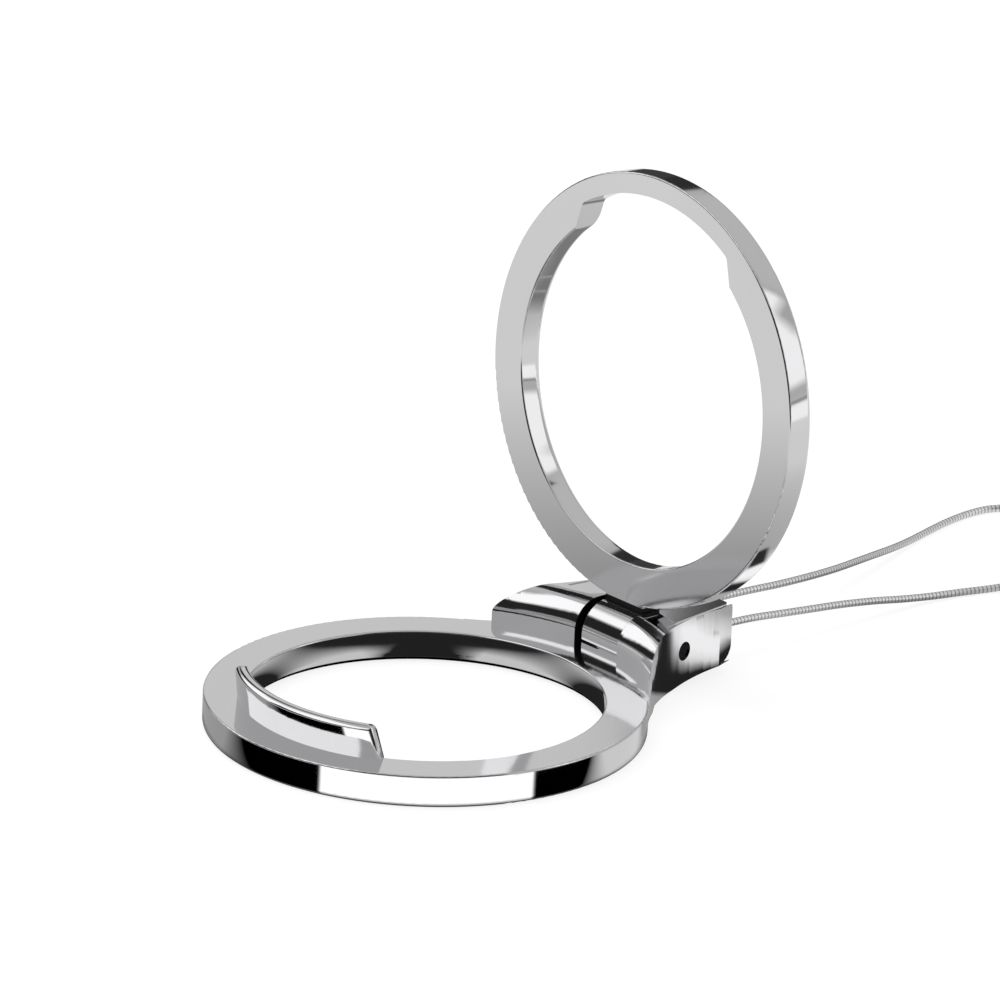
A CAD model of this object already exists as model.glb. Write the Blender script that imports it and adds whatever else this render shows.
# Folding two-ring phone holder with its ribbed wrist cord, in polished dark chrome
from math import cos, pi, radians, sin

import bmesh
import bpy
from mathutils import Matrix, Vector


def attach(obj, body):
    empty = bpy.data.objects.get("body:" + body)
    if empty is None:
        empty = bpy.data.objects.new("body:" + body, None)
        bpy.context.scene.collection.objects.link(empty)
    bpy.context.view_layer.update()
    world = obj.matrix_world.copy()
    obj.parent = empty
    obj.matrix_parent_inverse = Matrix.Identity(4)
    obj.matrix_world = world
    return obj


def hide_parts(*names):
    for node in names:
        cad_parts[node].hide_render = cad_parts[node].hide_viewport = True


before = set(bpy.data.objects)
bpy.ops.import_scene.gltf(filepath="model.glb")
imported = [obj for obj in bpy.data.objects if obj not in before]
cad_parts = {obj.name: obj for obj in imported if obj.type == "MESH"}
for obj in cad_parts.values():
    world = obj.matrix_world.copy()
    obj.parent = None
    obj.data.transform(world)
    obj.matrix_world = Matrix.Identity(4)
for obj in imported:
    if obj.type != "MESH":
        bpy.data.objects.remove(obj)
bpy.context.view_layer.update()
mm = 0.001


# One socket of a node tree, so that shader maths reads as plain expressions
class Sock:
    def __init__(self, tree, out):
        self.tree, self.out = tree, out

    def calc(self, operation, *others, clamp=False):
        return self.node("ShaderNodeMath", {"operation": operation, "use_clamp": clamp}, self, *others)

    def node(self, kind, settings=None, *values, output=0):
        made = self.tree.nodes.new(kind)
        for name, value in (settings or {}).items():
            setattr(made, name, value)
        wires = values[0].items() if len(values) == 1 and isinstance(values[0], dict) else enumerate(values)
        for key, value in wires:
            if isinstance(value, Sock):
                self.tree.links.new(value.out, made.inputs[key])
            else:
                made.inputs[key].default_value = value
        return Sock(self.tree, made.outputs[output])

    def __add__(self, other):
        return self.calc("ADD", other)

    def __mul__(self, other):
        return self.calc("MULTIPLY", other)

    def __sub__(self, other):
        return self.calc("SUBTRACT", other)

    def __rsub__(self, other):
        return self.node("ShaderNodeMath", {"operation": "SUBTRACT"}, other, self)

    def __truediv__(self, other):
        return self.calc("DIVIDE", other)

    __radd__ = __add__
    __rmul__ = __mul__


def mixColour(first, second, amount):  # amount is a socket and goes from first to second
    return amount.node("ShaderNodeMix", {"data_type": "RGBA"}, {0: amount, 6: first, 7: second}, output=2)


def newMaterial(name):
    material = bpy.data.materials.new(name)
    material.use_nodes = True
    surface = material.node_tree.nodes["Principled BSDF"]
    return material, surface, objectPlace(material.node_tree)


def objectPlace(tree):  # Object coordinates
    return Sock(tree, None).node("ShaderNodeTexCoord", {}, output=3)


def noise(place, scale, detail):
    return place.node("ShaderNodeTexNoise", {}, {"Vector": place, "Scale": scale, "Detail": detail})


def plug(sock, surface, name):
    sock.tree.links.new(sock.out, surface.inputs[name])


def rgba(colour, share=1.0):  # each channel times share, and never above white
    return (*(min(c * share, 1) for c in colour), 1.0)


def addToScene(name, data):
    made = bpy.data.objects.new(name, data)
    bpy.context.scene.collection.objects.link(made)
    return made


# The camera stands where the photograph was taken from
cameraSetup = {
    "azimuth": 48.55, "elevation": 19.75, "roll": 2.135,
    "focalPixels": 8873.0, "imagePixels": 1000.0, "distance": 1.1533,
    "ringCentrePixel": (425.87, 694.57), "ringTop": 4.4 * mm, "sensor": 36.0, "clip": (0.05, 20),
}


def makeCamera(c):
    azimuth, elevation, roll = (radians(c[k]) for k in ("azimuth", "elevation", "roll"))
    back = Vector((sin(azimuth) * cos(elevation), -cos(azimuth) * cos(elevation), sin(elevation)))
    level = Vector((cos(azimuth), sin(azimuth), 0))
    upright = back.cross(level)
    right = level * cos(roll) + upright * sin(roll)
    up = upright * cos(roll) - level * sin(roll)
    half = c["imagePixels"] / 2
    across = (c["ringCentrePixel"][0] - half) / c["focalPixels"] * c["distance"]
    above = -(c["ringCentrePixel"][1] - half) / c["focalPixels"] * c["distance"]
    place = Vector((0, 0, c["ringTop"])) + back * c["distance"] - right * across - up * above
    data = bpy.data.cameras.new("camera")
    data.sensor_width = c["sensor"]
    data.lens = c["focalPixels"] / c["imagePixels"] * c["sensor"]
    data.clip_start, data.clip_end = c["clip"]
    camera = addToScene("camera", data)
    camera.matrix_world = matrixOf(right, up, back, place)
    bpy.context.scene.camera = camera


def matrixOf(x, y, z, place):
    return Matrix(((x[0], y[0], z[0], place[0]), (x[1], y[1], z[1], place[1]),
                   (x[2], y[2], z[2], place[2]), (0, 0, 0, 1)))


makeCamera(cameraSetup)
print("camera placed")

# Ribbed cord: out of the right ferrule, round the tied coil and back into the left ferrule.
# Sizes and places are in millimetres
grooveMark = "groove"
cordRoute = {
    "diameter": 1.0, "coilCentre": (1, 114.5), "outerTurn": 6.5, "innerTurn": 4.5,
    "lowTurns": 2.0, "climbTurns": 0.5, "highTurns": 1.75, "lowHeight": 0.8, "pointsPerTurn": 24,
    "ribPitch": 0.62, "ribDepth": 0.22, "sides": 12,
    "right": [
        (4.1, 42.5, 4.85), (4.1, 46, 4.85), (4.1, 50, 4.8), (4.1, 54, 4.6), (4.1, 59, 4.1),
        (4.1, 64, 3.6), (4.1, 70, 3), (4.1, 76, 2.2), (4.2, 81, 1.4), (4.5, 86, 0.8),
        (5.4, 91, 0.6), (6.9, 96, 0.6), (8.3, 101, 0.8), (8.6, 106, 0.8), (8.1, 110, 0.8),
        (7.5, 114.5, 0.8)],
    "left": [
        (-4.1, 42.5, 4.85), (-4.1, 46, 4.85), (-4.1, 51, 4.83), (-4.1, 57, 4.7), (-4.1, 62, 4.5),
        (-4.3, 66, 4.2), (-4.9, 72, 3.8), (-6.2, 78, 3.2), (-7.8, 83, 2.6), (-9.7, 88.5, 1.9),
        (-11.6, 94, 1.2), (-13.4, 99, 0.7), (-15, 104, 0.55), (-16.3, 109, 0.55), (-17, 114, 0.55),
        (-16.6, 118, 0.55), (-14.2, 121.2, 0.6), (-10, 122.6, 0.8), (-4, 122, 1.4), (1, 121, 1.8)],
}


def smoothRoute(points, steps=4):  # the same curve through the points as in the part's source
    made = []
    last = len(points) - 1
    for i in range(last):
        a, b = Vector(points[max(i - 1, 0)]), Vector(points[i])
        c, d = Vector(points[i + 1]), Vector(points[min(i + 2, last)])
        for step in range(steps):
            t = step / steps
            made.append(b + t * (c - a) / 2 + t ** 2 * (a - 2.5 * b + 2 * c - 0.5 * d)
                        + t ** 3 * (1.5 * b - 1.5 * c + (d - a) / 2))
    return made + [Vector(points[last])]


def coilPoints(r):
    low, climb, high = r["lowTurns"], r["climbTurns"], r["highTurns"]
    count = round((low + climb + high) * r["pointsPerTurn"])
    made = []
    for i in range(1, count):
        turn = i / r["pointsPerTurn"]
        inward = min(turn / low, 1)
        outward = max((turn - low - climb) / high, 0)
        rise = min(max((turn - low) / climb, 0), 1)
        radius = r["outerTurn"] + (r["innerTurn"] - r["outerTurn"]) * (inward - outward)
        height = r["lowHeight"] + r["diameter"] * rise * rise * (3 - 2 * rise)
        angle = 2 * pi * turn
        made.append(Vector((r["coilCentre"][0] + radius * cos(angle),
                            r["coilCentre"][1] + radius * sin(angle), height)))
    return made


def makeCordTree():
    tree = bpy.data.node_groups.new("ribbedCord", "GeometryNodeTree")
    face = tree.interface
    face.new_socket("Geometry", in_out="INPUT", socket_type="NodeSocketGeometry")
    for name, kind in (("Diameter", "NodeSocketFloat"), ("Rib pitch", "NodeSocketFloat"),
                       ("Rib depth", "NodeSocketFloat"), ("Sides", "NodeSocketInt"),
                       ("Material", "NodeSocketMaterial")):
        face.new_socket(name, in_out="INPUT", socket_type=kind)
    face.new_socket("Geometry", in_out="OUTPUT", socket_type="NodeSocketGeometry")
    ends = tree.nodes.new("NodeGroupInput")
    inputs = {s.name: Sock(tree, s) for s in ends.outputs if s.name}
    start = inputs["Geometry"]
    pointsPerRib = 4
    spacing = inputs["Rib pitch"] / pointsPerRib
    even = start.node("GeometryNodeResampleCurve", {"mode": "LENGTH"}, {"Curve": start, "Length": spacing})
    index = start.node("GeometryNodeInputIndex")  # one point in each rib lies in a groove
    phase = index.calc("MODULO", pointsPerRib)
    groove = phase.calc("COMPARE", 0.0, 0.25)
    thickness = 1 - groove * inputs["Rib depth"]
    ribbed = start.node("GeometryNodeSetCurveRadius", {}, {"Curve": even, "Radius": thickness})
    marked = start.node("GeometryNodeStoreNamedAttribute", {"data_type": "FLOAT", "domain": "POINT"},
                        {"Geometry": ribbed, "Name": grooveMark, "Value": groove})
    profile = start.node("GeometryNodeCurvePrimitiveCircle", {"mode": "RADIUS"},
                         {"Resolution": inputs["Sides"], "Radius": inputs["Diameter"] / 2})
    wires = {"Curve": marked, "Profile Curve": profile, "Fill Caps": True}
    tube = start.node("GeometryNodeCurveToMesh", {}, wires)
    real = start.node("GeometryNodeRealizeInstances", {}, {"Geometry": tube})
    done = start.node("GeometryNodeSetMaterial", {}, {"Geometry": real, "Material": inputs["Material"]})
    out = tree.nodes.new("NodeGroupOutput")
    tree.links.new(done.out, out.inputs[0])
    return tree


def plainMesh(source, name):  # a new object with the modifiers of the old one applied
    view = bpy.context.evaluated_depsgraph_get()
    made = addToScene(name, bpy.data.meshes.new_from_object(source.evaluated_get(view)))
    bpy.data.objects.remove(source)
    return made


def meshFromNodes(source, tree, values, name):
    modifier = source.modifiers.new("nodes", "NODES")
    modifier.node_group = tree
    for item in tree.interface.items_tree:
        if item.in_out == "INPUT" and item.name in values:
            modifier[item.identifier] = values[item.name]
    return plainMesh(source, name)


def makeCord(r, material):
    points = smoothRoute(r["right"]) + coilPoints(r) + smoothRoute(r["left"])[::-1]
    points = [p * mm for p in points]
    curve = bpy.data.curves.new("cordPath", "CURVE")
    curve.dimensions = "3D"
    spline = curve.splines.new("POLY")
    spline.points.add(len(points) - 1)
    for point, place in zip(spline.points, points):
        point.co = (*place, 1)
    source = addToScene("cordPath", curve)
    values = {"Diameter": r["diameter"] * mm, "Rib pitch": r["ribPitch"] * mm,
              "Rib depth": r["ribDepth"], "Sides": r["sides"], "Material": material}
    cord = meshFromNodes(source, makeCordTree(), values, "wrist_cord")
    cord.data.shade_smooth()
    length = sum((b - a).length for a, b in zip(points, points[1:]))
    print("cord", round(length, 4), "m,", len(cord.data.polygons), "faces")
    return cord, points, length


cordLook = {
    "dull": (0.8, 0.8, 0.81), "bright": (1.0, 1.0, 1.0), "groove": (0.3, 0.3, 0.3),
    "roughness": 0.3, "roughSpread": 0.15, "speckleScale": 1500.0, "speckleDetail": 3.0,
}


def cordMetal(k):
    material, surface, place = newMaterial("ribbedCordMetal")
    speckle = noise(place, k["speckleScale"], k["speckleDetail"])
    groove = place.node("ShaderNodeAttribute", {"attribute_name": grooveMark}, output=2)
    ribs = mixColour(rgba(k["dull"]), rgba(k["bright"]), speckle)
    plug(mixColour(ribs, rgba(k["groove"]), groove), surface, "Base Color")
    surface.inputs["Metallic"].default_value = 1.0
    plug(k["roughness"] + speckle * k["roughSpread"], surface, "Roughness")
    return material


cordMaterial = cordMetal(cordLook)
cord, cordPath, cordLength = makeCord(cordRoute, cordMaterial)
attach(cord, "base")
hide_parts("cord_left", "cord_right", "cord_coil")
print("cord laid")


def softStep(value, width):  # from 0 to 1 as value goes through zero
    return (value / width + 0.5).calc("ADD", 0.0, clamp=True)


def lay(under, mask, over):  # shows over where the mask is 1
    return under * (1 - mask) + mask * over


# Materials of the rigid pieces. Each noise has a scale and a detail, and a spread says how far
# it moves the roughness
polish = {
    "tint": (0.72, 0.72, 0.73), "roughness": 0.07, "shade": 0.95,
    "cloud": (90.0, 4.0), "grain": (2600.0, 2.0), "cloudSpread": 0.03, "grainSpread": 0.02,
    "bump": 0.02, "bumpHeight": 0.02 * mm,
    "rawTint": (0.03, 0.03, 0.032), "rawRoughness": 0.5, "rawEdge": 0.02 * mm,
}
metalGrain = {"noise": (900.0, 3.0), "shade": 0.8, "spread": 0.12}
softGrain = {"detail": 4.0, "light": 1.5, "spread": 0.15, "bumpHeight": 0.1 * mm}


def bumped(height, strength, distance):
    return height.node("ShaderNodeBump", {}, {"Strength": strength, "Distance": distance, "Height": height})


def polishedAlloy(name, k, rawBoxes):
    material, surface, place = newMaterial(name)
    cloud = noise(place, *k["cloud"])
    grain = noise(place, *k["grain"])
    polished = mixColour(rgba(k["tint"], k["shade"]), rgba(k["tint"]), cloud)
    axes = [place.node("ShaderNodeSeparateXYZ", {}, place, output=i) for i in range(3)]
    unpolished = 0
    for centre, half in rawBoxes:
        inside = 1
        for axis, middle, reach in zip(axes, centre, half):
            beside = (axis - middle * mm).calc("ABSOLUTE")
            inside = inside * softStep(reach * mm - beside, k["rawEdge"])
        unpolished = inside.calc("MAXIMUM", unpolished)
    plug(mixColour(polished, rgba(k["rawTint"]), unpolished), surface, "Base Color")
    surface.inputs["Metallic"].default_value = 1.0
    smooth = k["roughness"] + (cloud - 0.5) * k["cloudSpread"] + (grain - 0.5) * k["grainSpread"]
    plug(lay(smooth, unpolished, k["rawRoughness"]), surface, "Roughness")
    plug(bumped(grain, k["bump"], k["bumpHeight"]), surface, "Normal")
    return material


def plainMetal(name, tint, roughness, k=metalGrain):
    material, surface, place = newMaterial(name)
    grain = noise(place, *k["noise"])
    plug(mixColour(rgba(tint, k["shade"]), rgba(tint), grain), surface, "Base Color")
    surface.inputs["Metallic"].default_value = 1.0
    plug(roughness + (grain - 0.5) * k["spread"], surface, "Roughness")
    return material


def softStuff(name, tint, roughness, grainScale, bump, k=softGrain):
    material, surface, place = newMaterial(name)
    grain = noise(place, grainScale, k["detail"])
    plug(mixColour(rgba(tint), rgba(tint, k["light"]), grain), surface, "Base Color")
    plug(roughness + (grain - 0.5) * k["spread"], surface, "Roughness")
    plug(bumped(grain, bump, k["bumpHeight"]), surface, "Normal")
    return material


# name, tint, roughness and, for what is soft, the grain's scale and the strength of its bump
finishes = {
    "backing_ring": plainMetal("rolledSteel", (0.5, 0.5, 0.52), 0.4),
    "underside_pad": softStuff("padRubber", (0.03, 0.03, 0.032), 0.8, 3000.0, 0.3),
    "hinge_pin": plainMetal("groundSteel", (0.62, 0.62, 0.64), 0.25),
    "friction_washer": plainMetal("blackenedWasher", (0.06, 0.06, 0.065), 0.5),
    "disc_spring_front": plainMetal("springSteel", (0.1, 0.1, 0.11), 0.45),
    "disc_spring_back": plainMetal("springSteelBack", (0.1, 0.1, 0.11), 0.45),
    "hinge_screw": plainMetal("blackOxide", (0.04, 0.04, 0.045), 0.45),
    "screw_plug": softStuff("nylon", (0.7, 0.7, 0.66), 0.5, 2000.0, 0.1),
    "ferrule_left": plainMetal("crimpedSteelLeft", (0.6, 0.6, 0.62), 0.3),
    "ferrule_right": plainMetal("crimpedSteelRight", (0.6, 0.6, 0.62), 0.3),
    "coil_tie": softStuff("tieBand", (0.02, 0.02, 0.02), 0.7, 4000.0, 0.4),
    "hinge_bush": plainMetal("bushBronze", (0.6, 0.44, 0.24), 0.35),
}
nickel = plainMetal("nickelPlate", (0.7, 0.69, 0.66), 0.2)


def giveFinish(node, material):
    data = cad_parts[node].data
    if data.materials:
        for i in range(len(data.materials)):
            data.materials[i] = material
    else:
        data.materials.append(material)


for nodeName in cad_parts:
    if nodeName.startswith("magnet_"):
        giveFinish(nodeName, nickel)
    elif nodeName in finishes:
        giveFinish(nodeName, finishes[nodeName])
print("finishes given")

# The two rings are polished castings: smooth between their edges, flat where they are flat
castings = {
    "weld": 0.002 * mm, "flatAngle": 0.3, "sharpAngle": 26.0,
    "rings": {"base_ring": ("polished_base", "base", "polished_alloy"),
              "upper_ring": ("polished_upper", "upper", "polished_alloy_upper")},
    # the walls inside the hinge, where no polishing wheel reaches: middle and half size of each
    # box in millimetres
    "rawBoxes": {
        "base_ring": [((0.15, 34.15, 5), (4.28, 4.75, 6))],
        "upper_ring": [((-3.05, 34, 5.2), (0.02, 5, 4.9)), ((4.25, 34, 5.2), (0.02, 5, 4.9)),
                       ((0.6, 36.7, 6), (4.2, 3.5, 4.3))]},
}


def makeCasting(c, node):
    name, body, slot = c["rings"][node]
    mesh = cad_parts[node].data.copy()
    work = bmesh.new()
    work.from_mesh(mesh)
    bmesh.ops.remove_doubles(work, verts=work.verts, dist=c["weld"])
    bmesh.ops.dissolve_degenerate(work, edges=work.edges, dist=c["weld"])
    bmesh.ops.dissolve_limit(work, verts=work.verts, edges=work.edges,
                             angle_limit=radians(c["flatAngle"]))
    work.to_mesh(mesh)
    work.free()
    mesh.shade_smooth()
    mesh.set_sharp_from_angle(angle=radians(c["sharpAngle"]))
    mesh.materials.clear()
    mesh.materials.append(polishedAlloy(name + "Finish", polish, c["rawBoxes"][node]))
    source = addToScene(name + "Source", mesh)
    modifier = source.modifiers.new("flatFaces", "WEIGHTED_NORMAL")
    modifier.keep_sharp = True
    casting = plainMesh(source, name)
    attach(casting, body)
    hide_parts(node)
    print(name, len(casting.data.polygons), "faces")


for node in castings["rings"]:
    makeCasting(castings, node)

# Floor, studio world and lamp. The polish shows cards: some lie on the floor, some stand far off
studio = {
    "floorSize": 3.0, "floorColour": (0.9, 0.9, 0.89), "floorWhite": 0.85, "ambient": 0.9,
    # what the polish sees where there is no card: below the horizon, above it, in second reflections
    "glossLow": 0.86, "glossHigh": 0.55, "glossLater": 0.6, "horizonSoft": 4.0, "leastLevel": 0.0001,
    # the floor as the polish sees it: brightness near the rings and far off, and where it ends
    "nearReach": 38 * mm, "nearBright": 0.4, "farReach": 130 * mm, "farBright": 0.84,
    "floorEnd": 250 * mm, "endSoft": 20 * mm,
    # strips beside a wall: the angles of the wall that show the strip's two edges (none where it
    # has no edge), how soft those edges are in millimetres, and the brightness
    "wallOut": 29 * mm, "wallIn": 23.4 * mm, "wallSoft": 0.1 * mm, "stripEnd": 41.5 * mm,
    "stripSoft": 1 * mm, "contactFrom": 29.3 * mm, "contactWidth": 2.2 * mm,
    "outerStrips": [
        (-99, 5.0, -68.5, 0.4, 0.0), (-68, 0.4, -12, 0.4, 1.45), (-11.5, 0.4, 9, 4.0, 0.0),
        (9, 4.0, 33, 2.0, 0.8)],
    "innerStrips": [
        (None, 2.0, 90, 2.5, 0.02), (189, 2.5, None, 2.0, 0.02), (90, 2.5, 126, 2.5, 0.75),
        (126, 2.5, 156, 2.5, 0.02), (156, 2.5, 189, 2.5, 0.75)],
    # cards on the floor: x, y, half width, half depth, softness in millimetres, brightness
    "floorCards": [
        (-15, 82, 32, 12, 14, 0.25), (17.5, 53, 5.5, 9, 8, 1.2), (9.5, 46, 3, 12, 2, 0.02),
        (25, 52, 4, 2.5, 1.5, 0.03)],
    # cards far off: heading, elevation, half width, half height, softness in degrees, brightness
    "cards": [
        (318, 22, 45, 27, 6, 0.03), (50, 24, 14, 18, 3, 1.2), (63, 20, 9, 13, 5, 0.5),
        (97, 42, 30, 12, 5, 0.62), (67, 46.4, 4, 2.4, 0.6, 0.03),
        (131.5, 12, 6.5, 15, 2, 0.03), (139, 4, 12, 10, 2, 0.05), (146, 20.5, 8.55, 5.8, 0.3, 0.73),
        (159, 40, 7, 20, 2, 0.02), (215, 1.5, 60, 3.5, 2, 0.3), (188, 8, 24, 5.5, 2, 0.02),
        (252, 18.5, 38, 12, 3, 0.02), (193, 27, 20, 11, 3, 1.35), (232, 48, 44, 14, 4, 1.35),
        (180, 57, 16, 12, 5, 0.6), (41, -4, 12, 3.2, 1, 1.2), (41, 0, 9, 0.7, 0.6, 0.3)],
    # the same for what a surface sees by way of another one
    "laterCards": [
        (198, 27, 19, 3.6, 1, 1.5), (245, 31, 32, 6.5, 2, 1.5), (197, 45, 18, 14, 2, 0.02)],
    "lampSize": 0.9, "lampPower": 9.0, "lampPlace": (-0.25, -0.2, 1.1),
}


# The part of the floor that a ring's wall shows between two of its angles
def stripMask(x, y, wall, inward, edges, c):
    mask = 1
    for angle, soft, side in edges:
        if angle is None:
            continue
        facing = radians(angle + (180 if inward else 0))
        seen = 2 * facing - radians(c["azimuth"] - 90)
        offset = wall * (sin(seen) * cos(radians(angle)) - cos(seen) * sin(radians(angle)))
        across = y * cos(seen) - x * sin(seen) + offset
        mask = mask * softStep(across * (-side if inward else side), soft * mm)
    return mask


def rayKinds(start):  # camera rays, glossy ones, those through something clear, and later reflections
    kinds = [start.node("ShaderNodeLightPath", {}, output=f"Is {kind} Ray")
             for kind in ("Camera", "Glossy", "Transmission")]
    return kinds + [start.node("ShaderNodeLightPath", {}, output="Glossy Depth").calc("GREATER_THAN", 1.5)]


def makeFloor(s, c):
    half = s["floorSize"] / 2
    mesh = bpy.data.meshes.new("floor")
    corners = [(-half, -half, 0), (half, -half, 0), (half, half, 0), (-half, half, 0)]
    mesh.from_pydata(corners, [], [(0, 1, 2, 3)])
    floor = addToScene("floor", mesh)
    material = bpy.data.materials.new("floorPaper")
    material.use_nodes = True
    tree = material.node_tree
    tree.nodes.clear()
    place = objectPlace(tree)
    x, y = (place.node("ShaderNodeSeparateXYZ", {}, place, output=i) for i in (0, 1))
    reach = (x * x + y * y).calc("SQRT")
    span = s["farReach"] - s["nearReach"]
    far = softStep(reach - s["nearReach"] - span / 2, span)
    bright = far * (s["farBright"] - s["nearBright"]) + s["nearBright"]
    for cardX, cardY, halfWidth, halfDepth, soft, strength in s["floorCards"]:
        besideX = halfWidth * mm - (x - cardX * mm).calc("ABSOLUTE")
        besideY = halfDepth * mm - (y - cardY * mm).calc("ABSOLUTE")
        bright = lay(bright, softStep(besideX, soft * mm) * softStep(besideY, soft * mm), strength)
    outside = softStep(reach - s["wallOut"], s["wallSoft"])
    outside = outside * softStep(s["stripEnd"] - reach, s["stripSoft"])
    inside = softStep(s["wallIn"] - reach, s["wallSoft"])
    for wall, inward, here, strips in ((s["wallOut"], False, outside, s["outerStrips"]),
                                       (s["wallIn"], True, inside, s["innerStrips"])):
        for fromAngle, fromSoft, toAngle, toSoft, strength in strips:
            edges = ((fromAngle, fromSoft, 1), (toAngle, toSoft, -1))
            bright = lay(bright, stripMask(x, y, wall, inward, edges, c) * here, strength)
    underRing = 1 - softStep(reach - s["contactFrom"], s["contactWidth"]) - inside
    bright = lay(bright, underRing.calc("MAXIMUM", 0.0), 0.0)
    isCamera, isGlossy, isThrough, later = rayKinds(place)
    bright = lay(bright, later, s["glossLater"])
    paper = place.node("ShaderNodeBsdfDiffuse", {}, {"Color": rgba(s["floorColour"])})
    glow, card = (place.node("ShaderNodeEmission", {}, {"Color": (1, 1, 1, 1), "Strength": strength})
                  for strength in (1.0, bright))
    clear = place.node("ShaderNodeBsdfTransparent")
    pale = place.node("ShaderNodeMixShader", {}, (isCamera + isThrough) * s["floorWhite"], paper, glow)
    shown = softStep(s["floorEnd"] - reach, s["endSoft"])
    mirrored = place.node("ShaderNodeMixShader", {}, shown, clear, card)
    seen = place.node("ShaderNodeMixShader", {}, isGlossy, pale, mirrored)
    out = tree.nodes.new("ShaderNodeOutputMaterial")
    tree.links.new(seen.out, out.inputs["Surface"])
    mesh.materials.append(material)


def makeWorld(s):
    world = bpy.data.worlds.new("studio")
    bpy.context.scene.world = world
    world.use_nodes = True
    tree = world.node_tree
    tree.nodes.clear()
    start = Sock(tree, None)
    toSky = start.node("ShaderNodeTexCoord", {}, output=0)
    x, y, z = (start.node("ShaderNodeSeparateXYZ", {}, toSky, output=i) for i in range(3))
    elevation = z.calc("ARCSINE") * (180 / pi)
    level = (x * x + y * y).calc("SQRT").calc("MAXIMUM", s["leastLevel"])

    def withCards(bright, cards):
        for heading, height, halfWidth, halfHeight, soft, strength in cards:
            heading = radians(heading)
            facing = (x * cos(heading) + y * sin(heading)) / level
            turn = facing.calc("MINIMUM", 1.0).calc("MAXIMUM", -1.0).calc("ARCCOSINE") * (180 / pi)
            lift = (elevation - height).calc("ABSOLUTE")
            card = softStep(halfWidth - turn, soft) * softStep(halfHeight - lift, soft)
            bright = lay(bright, card, strength)
        return bright

    sky = lay(s["glossLow"], softStep(elevation, s["horizonSoft"]), s["glossHigh"])
    first = withCards(sky, s["cards"])
    second = withCards(s["glossLater"], s["laterCards"])
    isCamera, isGlossy, isThrough, later = rayKinds(start)
    white = (isCamera + isThrough).calc("MINIMUM", 1.0)
    plain, cards = (start.node("ShaderNodeBackground", {}, {"Color": (1, 1, 1, 1), "Strength": strength})
                    for strength in (lay(s["ambient"], white, 1.0), lay(first, later, second)))
    light = start.node("ShaderNodeMixShader", {}, isGlossy, plain, cards)
    out = tree.nodes.new("ShaderNodeOutputWorld")
    tree.links.new(light.out, out.inputs["Surface"])


def makeLamp(s):
    data = bpy.data.lights.new("softbox", "AREA")
    data.size, data.energy = s["lampSize"], s["lampPower"]
    lamp = addToScene("softbox", data)
    place = Vector(s["lampPlace"])
    lamp.location = place
    lamp.rotation_euler = place.to_track_quat("Z", "Y").to_euler()
    lamp.visible_glossy = False


makeFloor(studio, cameraSetup)
makeWorld(studio)
makeLamp(studio)
bpy.context.scene.view_settings.view_transform = "Standard"
print("studio lit")
